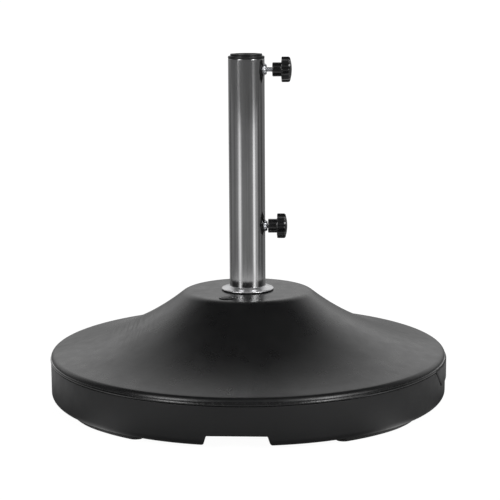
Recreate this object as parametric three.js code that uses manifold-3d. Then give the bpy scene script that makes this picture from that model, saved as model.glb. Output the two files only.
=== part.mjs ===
// A free-standing round parasol base: a moulded plastic shell in two halves around a concrete
// ballast, with a stainless pole tube, reducer sleeves and two star-grip clamp screws.
// Millimetres, +Z up. The origin is on the ground under the tube's axis. The hand notch is on
// the -Y side and the clamp screws point along +X.
import * as THREE from "three";
import { mergeVertices } from "three/addons/utils/BufferGeometryUtils.js";
import Module from "manifold-3d";

const wasm = await Module();
wasm.setup();

// Driving dimensions.
const GAP = 0.3; // between pieces that touch
const OVERLAP = 1; // by which joined shapes run into each other and cuts run past a face
const FINE = 48; // facets round the shell
const MEDIUM = 40; // facets round the tube and its sleeves
const COARSE = 16; // facets round small pieces
const TINY = 10; // facets round screws and holes
const OUTER_STEPS = 3; // fineness of the shell's outer curve
const INNER_STEPS = 1; // fineness of the curves under it
const RIM_EXTRA_STEPS = 2;
const FLANK_EXTRA_STEPS = 3;
const EDGE_STEPS = 3; // fineness of rounded edges
const DOME_STEPS = 4; // fineness of the grips' domed faces

// Shell.
const RIM_RADIUS = 330.5;
const SHELL_WALL = 4;
const FOOT_HEIGHT = 6; // ground to the pan's underside
const SEAM_Z = 68.5; // pan meets cover
const DOME_TOP_Z = 180;
const SHOULDER_RADIUS = 96; // edge of the flat top
const SHOULDER_ARC = 24;
const FLANK_TOP_SLOPE = THREE.MathUtils.degToRad(38.5);
const FLANK_FOOT_SLOPE = THREE.MathUtils.degToRad(10);
const RIM_ARC = 8.5;
const RIM_ARC_Z = 73;
const BEAD_ARC = 2.2; // rounded lower edge of the cover
const BEAD_PROUD = 0.8;
const LIP_HEIGHT = 4; // pan's inner lip above the seam
const LIP_OUTER_RADIUS = RIM_RADIUS - 2.5;
const LIP_INNER_RADIUS = RIM_RADIUS - 5.3;
const PAN_EDGE_ARC = 11;
const PAN_CHAMFER = 1; // at the seam
const COVER_BORE_RADIUS = 31.5;

// Tongue of the cover over the rim, on the +X side.
const TONGUE_PROUD = 1.8;
const TONGUE_BOTTOM_Z = 39.5;
const TONGUE_TOP_HALF = THREE.MathUtils.degToRad(22);
const TONGUE_BOTTOM_HALF = THREE.MathUtils.degToRad(15.7);

// Hand notch and the pocket behind it.
const NOTCH_TOP_Z = 24;
const NOTCH_TOP_HALF = 45.5;
const NOTCH_BOTTOM_HALF = 51;
const NOTCH_CORNER = 3;
const NOTCH_MOUTH_ARC = 6;
const NOTCH_DEPTH = 58;
const NOTCH_CORNER_STEPS = 2;

// Screws that join the shell, each in a post of the pan and a boss of the cover.
const SCREW_CIRCLE = 312;
const SCREW_OFFSET = THREE.MathUtils.degToRad(20); // either side of each quarter
const SCREW_SHANK = 2.25;
const SCREW_HEAD = 4.8;
const SCREW_HEAD_HEIGHT = 2;
const SCREW_HEAD_CHAMFER = 1;
const SCREW_SEAT_Z = 40; // where the head bears in the post
const SCREW_TOP_Z = 78;
const SCREW_HOLE_TOP_Z = 80;
const BOSS_RADIUS = 7;
const BOSS_TOP_Z = 81;
const POST_RADIUS = 8;

// Feet. Each runs from FOOT_START to FOOT_END, measured from the front or the back of the base.
const FOOT_INNER = 295;
const FOOT_OUTER = 319;
const FOOT_START = THREE.MathUtils.degToRad(29);
const FOOT_MIDDLE = THREE.MathUtils.degToRad(45);
const FOOT_END = THREE.MathUtils.degToRad(66);
const FOOT_END_TAPER = 13;
const FOOT_ARC_STEPS = 10;
const PEG_CIRCLE = 309;
const PEG_RADIUS = 3;
const PEG_ANGLE = THREE.MathUtils.degToRad(9);
const PEG_TOP_Z = 11;
const PEG_HOLE_TOP_Z = 13;

// Ballast and what is anchored in it.
const BALLAST_RADIUS = 300;
const BALLAST_CLEARANCE = 0.6;
const ANCHOR_RECESS_RADIUS = 30;
const ANCHOR_RECESS_TOP_Z = 24;
const BOLT_HOLE_RADIUS = 7;
const SOCKET_INNER = 31;
const SOCKET_OUTER = 32.5;
const SOCKET_BOTTOM_Z = 42;
const SOCKET_FLOOR = 2;
const SOCKET_TOP_Z = 172;

// Pole tube and its foot.
const TUBE_RADIUS = 30;
const TUBE_BORE = 28;
const TUBE_TOP_Z = 564;
const TUBE_FOOT_Z = SOCKET_BOTTOM_Z + SOCKET_FLOOR + GAP;
const PLATE_THICKNESS = 6;
const NUT_ACROSS = 18;
const NUT_HEIGHT = 10;
const BOLT_RADIUS = 6;
const BOLT_HEAD_HEIGHT = 7.5;
const BOLT_END = 2; // past the nut
const WASHER_RADIUS = 25;
const WASHER_THICKNESS = 3.7;
const POLE_REST_TOP_Z = 70;
const POLE_REST_THICKNESS = 4;
const POLE_REST_WALL = 3.6;
const ANCHOR_COVER_FLANGE = 31.4;
const ANCHOR_COVER_SPIGOT = 27.5;
const ANCHOR_COVER_WALL = 2;
const ANCHOR_COVER_THICKNESS = 1.6;
const ANCHOR_COVER_HEIGHT = 5;

// Rosette at the tube's foot.
const ROSETTE_RADIUS = 43.5;
const ROSETTE_STANDOFF = 1.5; // seal and clearance under it
const ROSETTE_Z = DOME_TOP_Z + ROSETTE_STANDOFF;
const ROSETTE_RISE = 5.2;
const ROSETTE_SHEET = 1.2;
const ROSETTE_EDGE_HEIGHT = 1.8;
const ROSETTE_EDGE_ROUND = 1;
const ROSETTE_BORE = TUBE_RADIUS + 0.35;
const SEAL_RADIUS = 42.3;
const SEAL_THICKNESS = 0.9;

// Filler plug.
const PLUG_X = -30.5;
const PLUG_Y = -76;
const PLUG_RADIUS = 12.6;
const PLUG_SHANK = 10.4;
const PLUG_CROWN = 2.6;
const PLUG_ROUND = 1;
const PLUG_DEPTH = 12;
const PLUG_ROOM = 2; // round the plug in the ballast

// Reducer sleeves.
const SLEEVE_BOTTOM_Z = 512;
const OUTER_SHANK = 27.6;
const OUTER_BORE = 24.7;
const OUTER_FLANGE = 4.5;
const INNER_SHANK = 24.4;
const INNER_BORE = 20;
const INNER_FLANGE = 3.3;
const INNER_FLANGE_RADIUS = 26.2;
const FLANGE_CHAMFER = 0.8;
const SLOT_HALF_WIDTH = 5.3;

// Clamp screws: distances along +X from the tube's axis.
const UPPER_AXIS_Z = 546.5;
const LOWER_AXIS_Z = 287.8;
const UPPER_HUB_X = 42.8;
const LOWER_HUB_X = 34.9;
const BUSH_FLANGE = 9.1;
const BUSH_FACE_X = 33.6;
const BUSH_INNER_X = 28.2;
const BUSH_SHANK = 6.5;
const BUSH_BORE = 4.3;
const BUSH_CHAMFER = 1.3;
const THREAD_RADIUS = 3.9;
const SCREW_REACH = 20; // hub face to the thrust tip's end
const TIP_RADIUS = 3.2;
const TIP_LENGTH = 5;
const TIP_CHAMFER = 1;
const TIP_SOCKET_RADIUS = 2;
const TIP_SOCKET_DEPTH = 3;
const HEX_ACROSS = 13;
const HEX_HEIGHT = 5.3;
const HEX_SEAT = 8; // hub face to the hexagon's pocket

// Star grip: distances along its own axis from the hub face.
const HUB_RADIUS = 11.6;
const HUB_LENGTH = 14.8;
const GRIP_LOBES = 8;
const GRIP_MEAN_RADIUS = 19.3;
const GRIP_LOBE_HEIGHT = 1.5;
const GRIP_POINTS_PER_LOBE = 6;
const GRIP_EDGE = 27.3; // height of the lobes' sides
const GRIP_ROUND = 1;
const GRIP_APEX = 31.8;
const GRIP_DOME = 62; // radius of the domed face
const CAP_RADIUS = 14.4;
const CAP_SEAT = 26.8;

const STEEL = { color: 0xb9babb, roughness: 0.28, metalness: 1 };
const ZINC = { color: 0xa9acb0, roughness: 0.35, metalness: 1 };
const SHELL_PLASTIC = { color: 0x2b2c2e, roughness: 0.42, metalness: 0 };
const GRIP_PLASTIC = { color: 0x151515, roughness: 0.3, metalness: 0 };
const SLEEVE_PLASTIC = { color: 0x1c1c1d, roughness: 0.45, metalness: 0 };
const RUBBER = { color: 0x121212, roughness: 0.85, metalness: 0 };
const CONCRETE = { color: 0x8d8b86, roughness: 0.95, metalness: 0 };
const NYLON = { color: 0xd9d6cc, roughness: 0.5, metalness: 0 };

const root = new THREE.Group();

function addPiece(name, geometry, finish, parent = root) {
  const mesh = new THREE.Mesh(geometry, new THREE.MeshStandardMaterial(finish));
  mesh.name = name;
  parent.add(mesh);
  return mesh;
}

// Booleans.

function toSolid(geometry) {
  const bare = new THREE.BufferGeometry();
  bare.setAttribute("position", geometry.getAttribute("position"));
  bare.setIndex(geometry.getIndex());
  const merged = mergeVertices(bare, 1e-4);
  const vertProperties = new Float32Array(merged.getAttribute("position").array);
  const triVerts = new Uint32Array(merged.getIndex().array);
  return new wasm.Manifold(new wasm.Mesh({ numProp: 3, vertProperties, triVerts }));
}

function toGeometry(solid) {
  const mesh = solid.getMesh();
  const geometry = new THREE.BufferGeometry();
  geometry.setAttribute("position", new THREE.BufferAttribute(mesh.vertProperties, 3));
  geometry.setIndex(new THREE.BufferAttribute(mesh.triVerts, 1));
  geometry.computeVertexNormals();
  return geometry;
}

function joined(first, ...others) {
  return toGeometry(others.reduce((solid, other) => solid.add(toSolid(other)), toSolid(first)));
}

function cut(body, ...tools) {
  return toGeometry(tools.reduce((solid, tool) => solid.subtract(toSolid(tool)), toSolid(body)));
}

function common(first, second) {
  return toGeometry(toSolid(first).intersect(toSolid(second)));
}

// Outlines and basic shapes.

function point(r, z) {
  return new THREE.Vector2(r, z);
}

function arc(centre, radius, from, to, steps) {
  const points = [];
  for (let i = 0; i <= steps; i += 1) {
    const angle = from + ((to - from) * i) / steps;
    points.push(point(centre.x + radius * Math.cos(angle), centre.y + radius * Math.sin(angle)));
  }
  return points;
}

// Turns a closed outline of (radius, height) points about +Z. Outlines run clockwise with the
// radius to the right and the height up.
function turned(outline, facets) {
  const closed = outline.slice().reverse();
  const onAxis = closed[0].x === 0 && closed[closed.length - 1].x === 0;
  if (!onAxis) {
    closed.push(closed[0].clone());
  }
  return new THREE.LatheGeometry(closed, facets).rotateX(Math.PI / 2);
}

function rod(radius, bottom, top, facets = TINY) {
  const height = top - bottom;
  const cylinder = new THREE.CylinderGeometry(radius, radius, height, facets);
  return cylinder.rotateX(Math.PI / 2).translate(0, 0, bottom + height / 2);
}

function rodAlongX(radius, length, facets = TINY) {
  return new THREE.CylinderGeometry(radius, radius, length, facets).rotateZ(Math.PI / 2);
}

function hexagon(across, bottom, top) {
  return rod(across / Math.sqrt(3), bottom, top, 6);
}

function box(width, depth, height) {
  return new THREE.BoxGeometry(width, depth, height);
}

// Shell outline, shared by the cover and the ballast under it.

// Top surface of the cover from the flat top's edge to the rim, moved inwards by inset.
function coverCurve(inset, steps) {
  const shoulderCentre = point(SHOULDER_RADIUS, DOME_TOP_Z - SHOULDER_ARC);
  const rimCentre = point(RIM_RADIUS - RIM_ARC, RIM_ARC_Z);
  const upright = Math.PI / 2;
  const shoulder = arc(
    shoulderCentre, SHOULDER_ARC - inset, upright, upright - FLANK_TOP_SLOPE, steps,
  );
  const rim = arc(
    rimCentre, RIM_ARC - inset, upright - FLANK_FOOT_SLOPE, 0, steps + RIM_EXTRA_STEPS,
  );
  return [...shoulder, ...flank(shoulder[shoulder.length - 1], rim[0], steps), ...rim];
}

// Hollow flank: a parabola that leaves the shoulder and meets the rim along their tangents.
function flank(start, end, steps) {
  const fallStart = Math.tan(FLANK_TOP_SLOPE);
  const fallEnd = Math.tan(FLANK_FOOT_SLOPE);
  const run = end.x - start.x;
  const drop = start.y - end.y;
  const reach = (drop - fallEnd * run) / (fallStart - fallEnd);
  const corner = point(start.x + reach, start.y - fallStart * reach);
  const curve = new THREE.QuadraticBezierCurve(start, corner, end);
  return curve.getPoints(steps + FLANK_EXTRA_STEPS).slice(1, -1);
}

function coverBody() {
  const outer = coverCurve(0, OUTER_STEPS);
  const inner = coverCurve(SHELL_WALL, INNER_STEPS);
  const lipTop = SEAM_Z + LIP_HEIGHT + GAP;
  const beadCentre = point(RIM_RADIUS + BEAD_PROUD - BEAD_ARC, SEAM_Z + GAP + BEAD_ARC);
  const skirtInner = LIP_OUTER_RADIUS + GAP;
  const outline = [
    point(COVER_BORE_RADIUS, DOME_TOP_Z),
    ...outer,
    ...arc(beadCentre, BEAD_ARC, Math.PI / 4, -Math.PI / 2, EDGE_STEPS),
    point(skirtInner, SEAM_Z + GAP),
    point(skirtInner, lipTop),
    ...inner.reverse().filter((p) => p.y > lipTop),
    point(COVER_BORE_RADIUS, DOME_TOP_Z - SHELL_WALL),
  ];
  return turned(outline, FINE);
}

// Broad tongue with slanted ends that hangs from the bead over the pan's wall.
function coverTongue() {
  const inner = RIM_RADIUS + GAP;
  const outer = RIM_RADIUS + TONGUE_PROUD;
  const top = SEAM_Z + GAP + BEAD_ARC;
  const band = [
    point(inner, TONGUE_BOTTOM_Z),
    point(inner, top),
    point(outer - TONGUE_PROUD / 2, top),
    point(outer, top - BEAD_ARC),
    point(outer, TONGUE_BOTTOM_Z),
  ];
  const near = inner * Math.cos(TONGUE_TOP_HALF) - OVERLAP;
  const bottom = TONGUE_BOTTOM_Z - OVERLAP;
  return common(turned(band, FINE), radialBlock(near, outer + OVERLAP, bottom, top + OVERLAP));
}

// Block round the tongue with radial ends, narrower at its bottom than at its top.
function radialBlock(near, far, bottom, top) {
  const middle = (bottom + top) / 2;
  const block = box(far - near, 1, top - bottom).translate((near + far) / 2, 0, middle);
  const position = block.getAttribute("position");
  for (let i = 0; i < position.count; i += 1) {
    const half = position.getZ(i) > middle ? TONGUE_TOP_HALF : TONGUE_BOTTOM_HALF;
    const side = Math.sign(position.getY(i));
    position.setY(i, side * position.getX(i) * Math.tan(half));
  }
  return block;
}

function shellScrewAngles() {
  const angles = [];
  for (let quarter = 0; quarter < 4; quarter += 1) {
    const middle = (quarter * Math.PI) / 2;
    angles.push(middle - SCREW_OFFSET, middle + SCREW_OFFSET);
  }
  return angles;
}

function onCircle(geometry, radius, angle) {
  return geometry.translate(radius * Math.cos(angle), radius * Math.sin(angle), 0);
}

function topCover() {
  const bossBottom = SEAM_Z + GAP;
  const bosses = [];
  const holes = [];
  for (const angle of shellScrewAngles()) {
    bosses.push(onCircle(rod(BOSS_RADIUS, bossBottom, BOSS_TOP_Z), SCREW_CIRCLE, angle));
    holes.push(onCircle(rod(SCREW_SHANK + GAP, 0, SCREW_HOLE_TOP_Z), SCREW_CIRCLE, angle));
  }
  const whole = joined(coverBody(), coverTongue(), ...bosses);
  const plugBottom = DOME_TOP_Z - PLUG_DEPTH;
  const plugHole = rod(PLUG_SHANK + GAP, plugBottom, DOME_TOP_Z + OVERLAP, COARSE);
  return cut(whole, ...holes, plugHole.translate(PLUG_X, PLUG_Y, 0));
}

// Outline of the hand notch, seen along +Y, grown on all sides by grow. Its mouth opens out in
// a curve as wide as flare.
function notchOutline(grow, flare) {
  const top = NOTCH_TOP_Z + grow;
  const topHalf = NOTCH_TOP_HALF + grow;
  const bottomHalf = NOTCH_BOTTOM_HALF + grow;
  const side = new THREE.Vector2(topHalf - bottomHalf, top - FOOT_HEIGHT).setLength(flare);
  const start = new THREE.Vector2(bottomHalf, FOOT_HEIGHT).add(side);
  const shape = new THREE.Shape();
  shape.moveTo(-start.x, start.y);
  if (flare > 0) {
    shape.quadraticCurveTo(-bottomHalf, FOOT_HEIGHT, -bottomHalf - flare, FOOT_HEIGHT);
    shape.lineTo(bottomHalf + flare, FOOT_HEIGHT);
    shape.quadraticCurveTo(bottomHalf, FOOT_HEIGHT, start.x, start.y);
  } else {
    shape.lineTo(start.x, start.y);
  }
  shape.lineTo(topHalf, top - NOTCH_CORNER);
  shape.quadraticCurveTo(topHalf, top, topHalf - NOTCH_CORNER, top);
  shape.lineTo(NOTCH_CORNER - topHalf, top);
  shape.quadraticCurveTo(-topHalf, top, -topHalf, top - NOTCH_CORNER);
  return shape;
}

// Notch prism from a front to a back distance out from the axis, on the -Y side.
function notchPrism(grow, front, back, flare = 0, drop = 0) {
  const depth = front - back;
  const prism = new THREE.ExtrudeGeometry(notchOutline(grow, flare), {
    depth,
    bevelEnabled: false,
    curveSegments: NOTCH_CORNER_STEPS,
  });
  return prism.rotateX(Math.PI / 2).translate(0, -back, -drop);
}

// Rounded lower edge of the pan, from the wall to the underside.
function panEdge() {
  const centre = point(RIM_RADIUS - PAN_EDGE_ARC, FOOT_HEIGHT + PAN_EDGE_ARC);
  return arc(centre, PAN_EDGE_ARC, 0, -Math.PI / 2, EDGE_STEPS);
}

// All that lies inside the pan's outer surface.
function panEnvelope() {
  const outline = [
    point(0, FOOT_HEIGHT),
    point(0, SEAM_Z),
    point(RIM_RADIUS, SEAM_Z),
    ...panEdge(),
  ];
  return turned(outline, FINE);
}

function panBody() {
  const floorTop = FOOT_HEIGHT + SHELL_WALL;
  const hole = ANCHOR_COVER_SPIGOT + GAP;
  const rebate = ANCHOR_COVER_FLANGE + GAP;
  const rebateTop = FOOT_HEIGHT + ANCHOR_COVER_THICKNESS + 2 * GAP;
  const lipTop = SEAM_Z + LIP_HEIGHT;
  const outline = [
    point(rebate, rebateTop),
    point(hole, rebateTop),
    point(hole, floorTop),
    point(LIP_INNER_RADIUS, floorTop),
    point(LIP_INNER_RADIUS, lipTop),
    point(LIP_OUTER_RADIUS, lipTop),
    point(LIP_OUTER_RADIUS, SEAM_Z),
    point(RIM_RADIUS - PAN_CHAMFER, SEAM_Z),
    point(RIM_RADIUS, SEAM_Z - PAN_CHAMFER),
    ...panEdge(),
    point(rebate, FOOT_HEIGHT),
  ];
  return turned(outline, FINE);
}

function bottomPan() {
  const back = RIM_RADIUS - NOTCH_DEPTH;
  const block = notchPrism(SHELL_WALL, LIP_INNER_RADIUS + OVERLAP, back - SHELL_WALL);
  const housing = common(block, panEnvelope());
  const pocket = notchPrism(0, RIM_RADIUS + OVERLAP, back, NOTCH_MOUTH_ARC);
  const pocketMouth = notchPrism(0, RIM_RADIUS + OVERLAP, back, 0, SHELL_WALL);
  const posts = [];
  const holes = [];
  for (const angle of shellScrewAngles()) {
    const post = rod(POST_RADIUS, FOOT_HEIGHT + OVERLAP, SEAM_Z);
    const shank = rod(SCREW_SHANK + GAP, 0, SEAM_Z + OVERLAP);
    const head = rod(SCREW_HEAD + 2 * GAP, 0, SCREW_SEAT_Z);
    posts.push(onCircle(post, SCREW_CIRCLE, angle));
    holes.push(onCircle(shank, SCREW_CIRCLE, angle), onCircle(head, SCREW_CIRCLE, angle));
  }
  for (let quarter = 0; quarter < 4; quarter += 1) {
    for (const angle of pegAngles(quarter)) {
      holes.push(onCircle(rod(PEG_RADIUS + GAP, 0, PEG_HOLE_TOP_Z), PEG_CIRCLE, angle));
    }
  }
  return cut(joined(panBody(), housing, ...posts), pocket, pocketMouth, ...holes);
}

// Feet.

function footMiddle(quarter) {
  return Math.PI / 4 + (quarter * Math.PI) / 2;
}

function pegAngles(quarter) {
  return [footMiddle(quarter) - PEG_ANGLE, footMiddle(quarter) + PEG_ANGLE];
}

// Angle from +X to a place on the foot that lies fromFront away from the front or the back.
function footAngle(quarter, fromFront) {
  const side = quarter % 2 === 0 ? -1 : 1;
  return footMiddle(quarter) + side * (fromFront - FOOT_MIDDLE);
}

// Outer edge of a foot: round the base as far as its middle, then drawn in towards its end.
function footEdge(quarter) {
  const points = [];
  for (let i = 0; i <= FOOT_ARC_STEPS; i += 1) {
    const fromFront = FOOT_START + ((FOOT_END - FOOT_START) * i) / FOOT_ARC_STEPS;
    const past = Math.max(0, (fromFront - FOOT_MIDDLE) / (FOOT_END - FOOT_MIDDLE));
    const radius = FOOT_OUTER - FOOT_END_TAPER * past * past;
    const angle = footAngle(quarter, fromFront);
    points.push(point(radius * Math.cos(angle), radius * Math.sin(angle)));
  }
  return points;
}

function footPad(quarter) {
  const start = footAngle(quarter, FOOT_START);
  const end = footAngle(quarter, FOOT_END);
  const origin = point(0, 0);
  const outline = new THREE.Shape([
    ...footEdge(quarter),
    ...arc(origin, FOOT_INNER, end, start, FOOT_ARC_STEPS),
  ]);
  const height = FOOT_HEIGHT - GAP;
  const pad = new THREE.ExtrudeGeometry(outline, { depth: height, bevelEnabled: false });
  const pegs = pegAngles(quarter).map(
    (angle) => onCircle(rod(PEG_RADIUS, height - OVERLAP, PEG_TOP_Z), PEG_CIRCLE, angle),
  );
  return joined(pad, ...pegs);
}

function shellScrew() {
  const headTop = SCREW_SEAT_Z - GAP;
  const headBottom = headTop - SCREW_HEAD_HEIGHT;
  const outline = [
    point(0, headBottom),
    point(0, SCREW_TOP_Z),
    point(SCREW_SHANK / 2, SCREW_TOP_Z),
    point(SCREW_SHANK, SCREW_TOP_Z - SCREW_SHANK),
    point(SCREW_SHANK, headTop),
    point(SCREW_HEAD, headTop),
    point(SCREW_HEAD - SCREW_HEAD_CHAMFER, headBottom),
  ];
  return turned(outline, TINY);
}

// Ballast and anchoring.

function concreteBallast() {
  const inset = SHELL_WALL + BALLAST_CLEARANCE;
  const bottom = FOOT_HEIGHT + SHELL_WALL + GAP;
  const bore = SOCKET_OUTER + GAP;
  const boreBottom = SOCKET_BOTTOM_Z - GAP;
  const curve = coverCurve(inset, INNER_STEPS);
  const edge = curve[curve.length - 1];
  const outline = [
    point(ANCHOR_RECESS_RADIUS, bottom),
    point(ANCHOR_RECESS_RADIUS, ANCHOR_RECESS_TOP_Z),
    point(BOLT_HOLE_RADIUS, ANCHOR_RECESS_TOP_Z),
    point(BOLT_HOLE_RADIUS, boreBottom),
    point(bore, boreBottom),
    point(bore, DOME_TOP_Z - inset),
    ...curve,
    point(edge.x, bottom),
  ];
  const back = RIM_RADIUS - NOTCH_DEPTH - SHELL_WALL - BALLAST_CLEARANCE;
  const pocket = notchPrism(SHELL_WALL + BALLAST_CLEARANCE, RIM_RADIUS, back);
  const plugBottom = DOME_TOP_Z - PLUG_DEPTH - PLUG_ROOM;
  const plugHole = rod(PLUG_SHANK + PLUG_ROOM, plugBottom, DOME_TOP_Z, TINY);
  const disc = common(turned(outline, FINE), rod(BALLAST_RADIUS, 0, DOME_TOP_Z, FINE));
  return cut(disc, pocket, plugHole.translate(PLUG_X, PLUG_Y, 0));
}

function tubeSocket() {
  const floorTop = SOCKET_BOTTOM_Z + SOCKET_FLOOR;
  const outline = [
    point(BOLT_HOLE_RADIUS, SOCKET_BOTTOM_Z),
    point(BOLT_HOLE_RADIUS, floorTop),
    point(SOCKET_INNER, floorTop),
    point(SOCKET_INNER, SOCKET_TOP_Z),
    point(SOCKET_OUTER, SOCKET_TOP_Z),
    point(SOCKET_OUTER, SOCKET_BOTTOM_Z),
  ];
  return turned(outline, MEDIUM);
}

function uprightTube() {
  const outline = [
    point(TUBE_BORE, TUBE_FOOT_Z),
    point(TUBE_BORE, TUBE_TOP_Z),
    point(TUBE_RADIUS, TUBE_TOP_Z),
    point(TUBE_RADIUS, TUBE_FOOT_Z),
  ];
  const holes = [UPPER_AXIS_Z, LOWER_AXIS_Z].map(
    (z) => rodAlongX(BUSH_SHANK + GAP, TUBE_RADIUS, COARSE).translate(TUBE_RADIUS, 0, z),
  );
  return cut(turned(outline, MEDIUM), ...holes);
}

function ring(inner, outer, bottom, top, facets) {
  const outline = [
    point(inner, bottom),
    point(inner, top),
    point(outer, top),
    point(outer, bottom),
  ];
  return turned(outline, facets);
}

function tubeFootPlate() {
  return ring(BOLT_RADIUS + GAP, TUBE_BORE - GAP, TUBE_FOOT_Z, TUBE_FOOT_Z + PLATE_THICKNESS, COARSE);
}

function anchorNut() {
  const bottom = TUBE_FOOT_Z + PLATE_THICKNESS + GAP;
  const top = bottom + NUT_HEIGHT;
  return cut(hexagon(NUT_ACROSS, bottom, top), rod(BOLT_RADIUS + GAP, bottom - OVERLAP, top + OVERLAP));
}

function anchorWasher() {
  const top = ANCHOR_RECESS_TOP_Z - GAP;
  return ring(BOLT_RADIUS + 2 * GAP, WASHER_RADIUS, top - WASHER_THICKNESS, top, COARSE);
}

function anchorBolt() {
  const headTop = ANCHOR_RECESS_TOP_Z - WASHER_THICKNESS - 2 * GAP;
  const end = TUBE_FOOT_Z + PLATE_THICKNESS + NUT_HEIGHT + BOLT_END;
  const head = hexagon(NUT_ACROSS, headTop - BOLT_HEAD_HEIGHT, headTop);
  return joined(head, rod(BOLT_RADIUS, headTop - OVERLAP, end));
}

function anchorCover() {
  const bottom = FOOT_HEIGHT + GAP;
  const flangeTop = bottom + ANCHOR_COVER_THICKNESS;
  const spigotInner = ANCHOR_COVER_SPIGOT - ANCHOR_COVER_WALL;
  const outline = [
    point(0, bottom),
    point(0, flangeTop),
    point(spigotInner, flangeTop),
    point(spigotInner, bottom + ANCHOR_COVER_HEIGHT),
    point(ANCHOR_COVER_SPIGOT, bottom + ANCHOR_COVER_HEIGHT),
    point(ANCHOR_COVER_SPIGOT, flangeTop),
    point(ANCHOR_COVER_FLANGE, flangeTop),
    point(ANCHOR_COVER_FLANGE, bottom),
  ];
  return turned(outline, COARSE);
}

function poleRest() {
  const outer = TUBE_BORE - 2 * GAP;
  const bottom = TUBE_FOOT_Z + PLATE_THICKNESS + GAP;
  const underside = POLE_REST_TOP_Z - POLE_REST_THICKNESS;
  const outline = [
    point(0, underside),
    point(0, POLE_REST_TOP_Z),
    point(outer, POLE_REST_TOP_Z),
    point(outer, bottom),
    point(outer - POLE_REST_WALL, bottom),
    point(outer - POLE_REST_WALL, underside),
  ];
  return turned(outline, COARSE);
}

// Rosette, seal and plug.

function rosetteRing() {
  const neck = ROSETTE_Z + ROSETTE_RISE;
  const outline = [
    point(ROSETTE_BORE, neck),
    point(ROSETTE_BORE, neck + ROSETTE_SHEET),
    point(ROSETTE_BORE + ROSETTE_SHEET, neck + ROSETTE_SHEET),
    point(ROSETTE_RADIUS - ROSETTE_EDGE_ROUND, ROSETTE_Z + ROSETTE_EDGE_HEIGHT),
    point(ROSETTE_RADIUS, ROSETTE_Z + ROSETTE_SHEET),
    point(ROSETTE_RADIUS, ROSETTE_Z),
    point(ROSETTE_RADIUS - ROSETTE_SHEET, ROSETTE_Z),
    point(ROSETTE_BORE + ROSETTE_SHEET, neck - ROSETTE_SHEET / 4),
  ];
  return turned(outline, MEDIUM);
}

function rosetteSeal() {
  const bottom = DOME_TOP_Z + GAP;
  return ring(TUBE_RADIUS + 2 * GAP, SEAL_RADIUS, bottom, bottom + SEAL_THICKNESS, MEDIUM);
}

function fillerPlug() {
  const seat = DOME_TOP_Z + GAP;
  const bottom = DOME_TOP_Z - PLUG_DEPTH + GAP;
  const outline = [
    point(0, bottom),
    point(0, seat + PLUG_CROWN),
    point(PLUG_RADIUS / 2, seat + PLUG_CROWN - GAP),
    point(PLUG_RADIUS - PLUG_ROUND, seat + PLUG_CROWN / 2),
    point(PLUG_RADIUS, seat),
    point(PLUG_SHANK, seat),
    point(PLUG_SHANK, bottom),
  ];
  return turned(outline, COARSE).translate(PLUG_X, PLUG_Y, 0);
}

// Reducer sleeves, each slotted from below for the upper clamp screw.

function sleeveSlot() {
  const reach = TUBE_RADIUS;
  const end = rodAlongX(SLOT_HALF_WIDTH, reach).translate(TUBE_RADIUS, 0, UPPER_AXIS_Z);
  const height = UPPER_AXIS_Z - SLEEVE_BOTTOM_Z + OVERLAP;
  const run = box(reach, 2 * SLOT_HALF_WIDTH, height);
  return joined(end, run.translate(TUBE_RADIUS, 0, UPPER_AXIS_Z - height / 2));
}

function reducer(bore, shank, flangeRadius, flangeBottom, flangeHeight) {
  const top = flangeBottom + flangeHeight;
  const outline = [
    point(bore, SLEEVE_BOTTOM_Z),
    point(bore, top - FLANGE_CHAMFER),
    point(bore + FLANGE_CHAMFER, top),
    point(flangeRadius - FLANGE_CHAMFER, top),
    point(flangeRadius, top - FLANGE_CHAMFER),
    point(flangeRadius, flangeBottom),
    point(shank, flangeBottom),
    point(shank, SLEEVE_BOTTOM_Z),
  ];
  return cut(turned(outline, MEDIUM), sleeveSlot());
}

function outerReducer() {
  return reducer(OUTER_BORE, OUTER_SHANK, TUBE_RADIUS, TUBE_TOP_Z + GAP, OUTER_FLANGE);
}

function innerReducer() {
  const seat = TUBE_TOP_Z + OUTER_FLANGE + 2 * GAP;
  return reducer(INNER_BORE, INNER_SHANK, INNER_FLANGE_RADIUS, seat, INNER_FLANGE);
}

// Clamp screws. Each is built along its own +Z, which its group turns to +X.

function threadBush() {
  const outline = [
    point(BUSH_BORE, BUSH_INNER_X),
    point(BUSH_BORE, BUSH_FACE_X),
    point(BUSH_FLANGE - BUSH_CHAMFER, BUSH_FACE_X),
    point(BUSH_FLANGE, BUSH_FACE_X - BUSH_CHAMFER),
    point(BUSH_FLANGE, BUSH_INNER_X),
  ];
  const saddle = rodAlongX(TUBE_RADIUS + GAP, 2 * TUBE_RADIUS, MEDIUM);
  const flange = cut(turned(outline, COARSE), saddle);
  return joined(flange, ring(BUSH_BORE, BUSH_SHANK, BUSH_INNER_X, BUSH_FACE_X - BUSH_CHAMFER, COARSE));
}

function clampScrew() {
  const end = -SCREW_REACH;
  const shoulder = end + TIP_LENGTH + GAP;
  const stub = end + TIP_LENGTH - TIP_SOCKET_DEPTH + GAP;
  const stubRadius = TIP_SOCKET_RADIUS - GAP;
  const seat = HEX_SEAT + GAP;
  const shaft = turned(
    [
      point(0, stub),
      point(0, seat + OVERLAP),
      point(THREAD_RADIUS, seat + OVERLAP),
      point(THREAD_RADIUS, shoulder),
      point(stubRadius, shoulder),
      point(stubRadius, stub),
    ],
    TINY,
  );
  return joined(shaft, hexagon(HEX_ACROSS, seat, seat + HEX_HEIGHT));
}

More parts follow.
